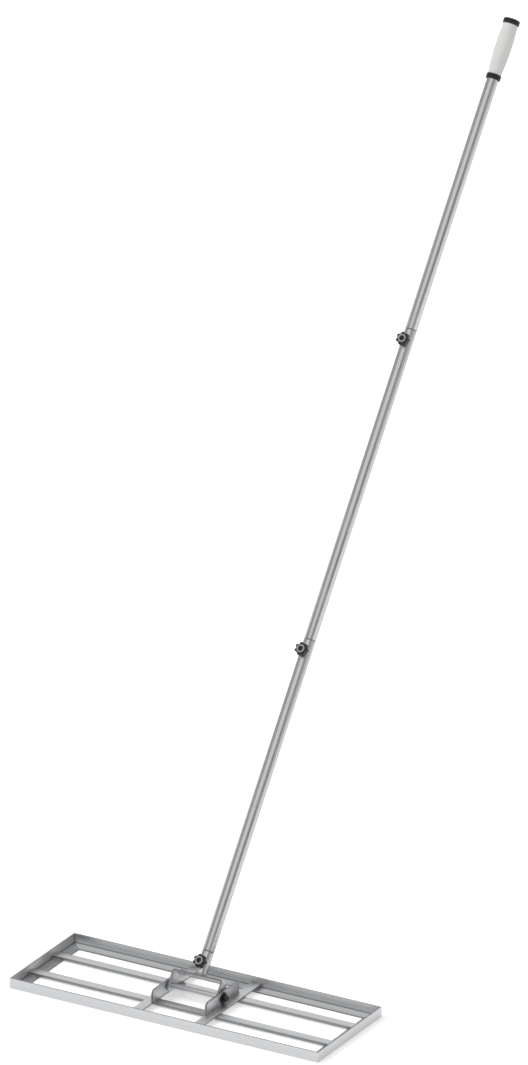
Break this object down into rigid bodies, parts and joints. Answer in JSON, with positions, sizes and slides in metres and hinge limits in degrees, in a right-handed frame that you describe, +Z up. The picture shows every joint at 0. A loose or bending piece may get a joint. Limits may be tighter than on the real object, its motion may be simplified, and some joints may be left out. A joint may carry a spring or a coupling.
{
  "type": "lawn levelling rake",
  "caption": "Long-handled hand rake with a flat slatted steel head that tilts on a yoke, for levelling and screeding loose soil, sand or topping.",
  "frame": {"origin": "on the ground under the middle of the head, which is also under the pivot axis", "axes": "+Z up, +X along the head towards the lock nut, +Y towards the user, the way the handle leans"},
  "size_m": [0.712, 1.4068, 1.6829],
  "materials": {
    "head_steel": "pale satin stainless steel, bright along the sliding edges",
    "yoke_steel": "pale satin stainless steel",
    "tube_steel": "pale brushed stainless tube",
    "zinc_fastener": "black-zinc plated fasteners",
    "knob_plastic": "fine-grained black moulding",
    "grip_rubber": "pale soft sleeve",
    "ring_plastic": "black rubber end rings"
  },
  "bodies": {
    "handle": {"yoke_bracket": "yoke_steel", "handle_socket": "yoke_steel", "pivot_spacer": "zinc_fastener", "lower_tube": "tube_steel", "middle_tube": "tube_steel", "upper_tube": "tube_steel", "lower_weld_nut": "zinc_fastener", "middle_weld_nut": "zinc_fastener", "upper_weld_nut": "zinc_fastener", "grip_barrel": "grip_rubber", "grip_lower_ring": "ring_plastic", "grip_upper_ring": "ring_plastic", "grip_end_cap": "ring_plastic"},
    "head": {"front_rail": "head_steel", "rear_rail": "head_steel", "left_rail": "head_steel", "right_rail": "head_steel", "front_bar": "head_steel", "rear_bar": "head_steel", "left_cross_strip": "head_steel", "right_cross_strip": "head_steel", "left_ear": "head_steel", "right_ear": "head_steel", "pivot_bolt": "zinc_fastener", "pivot_lock_nut": "zinc_fastener", "outer_washers": "zinc_fastener", "thrust_washers": "zinc_fastener"},
    "lower_washer": {"lower_knob_washer": "zinc_fastener"},
    "lower_knob": {"lower_knob": "knob_plastic", "lower_knob_cap": "knob_plastic", "lower_knob_stud": "zinc_fastener"},
    "middle_washer": {"middle_knob_washer": "zinc_fastener"},
    "middle_knob": {"middle_knob": "knob_plastic", "middle_knob_cap": "knob_plastic", "middle_knob_stud": "zinc_fastener"},
    "upper_washer": {"upper_knob_washer": "zinc_fastener"},
    "upper_knob": {"upper_knob": "knob_plastic", "upper_knob_cap": "knob_plastic", "upper_knob_stud": "zinc_fastener"}
  },
  "joints": [
    {"name": "head_tilt", "type": "hinge", "parent": "handle", "child": "head", "pos_m": [0, 0, 0.025], "axis": [1, 0, 0], "range_deg": [-102, 47]},
    {"name": "lower_knob_travel", "type": "slide", "parent": "handle", "child": "lower_washer", "axis": [0, -0.7928, 0.6095], "range_m": [0, 0.006]},
    {"name": "lower_knob_turn", "type": "hinge", "parent": "lower_washer", "child": "lower_knob", "pos_m": [0, 0.03535, 0.07098], "axis": [0, -0.7928, 0.6095], "range_deg": [0, 2160]},
    {"name": "middle_knob_travel", "type": "slide", "parent": "handle", "child": "middle_washer", "axis": [0, -0.7928, 0.6095], "range_m": [0, 0.006]},
    {"name": "middle_knob_turn", "type": "hinge", "parent": "middle_washer", "child": "middle_knob", "pos_m": [0, 0.44003, 0.59742], "axis": [0, -0.7928, 0.6095], "range_deg": [0, 2160]},
    {"name": "upper_knob_travel", "type": "slide", "parent": "handle", "child": "upper_washer", "axis": [0, -0.7928, 0.6095], "range_m": [0, 0.006]},
    {"name": "upper_knob_turn", "type": "hinge", "parent": "upper_washer", "child": "upper_knob", "pos_m": [0, 0.8447, 1.12385], "axis": [0, -0.7928, 0.6095], "range_deg": [0, 2160]}
  ],
  "couplings": [
    {"joint": "lower_knob_turn", "follows": "lower_knob_travel", "rad_per_m": 6283.2},
    {"joint": "middle_knob_turn", "follows": "middle_knob_travel", "rad_per_m": 6283.2},
    {"joint": "upper_knob_turn", "follows": "upper_knob_travel", "rad_per_m": 6283.2}
  ]
}
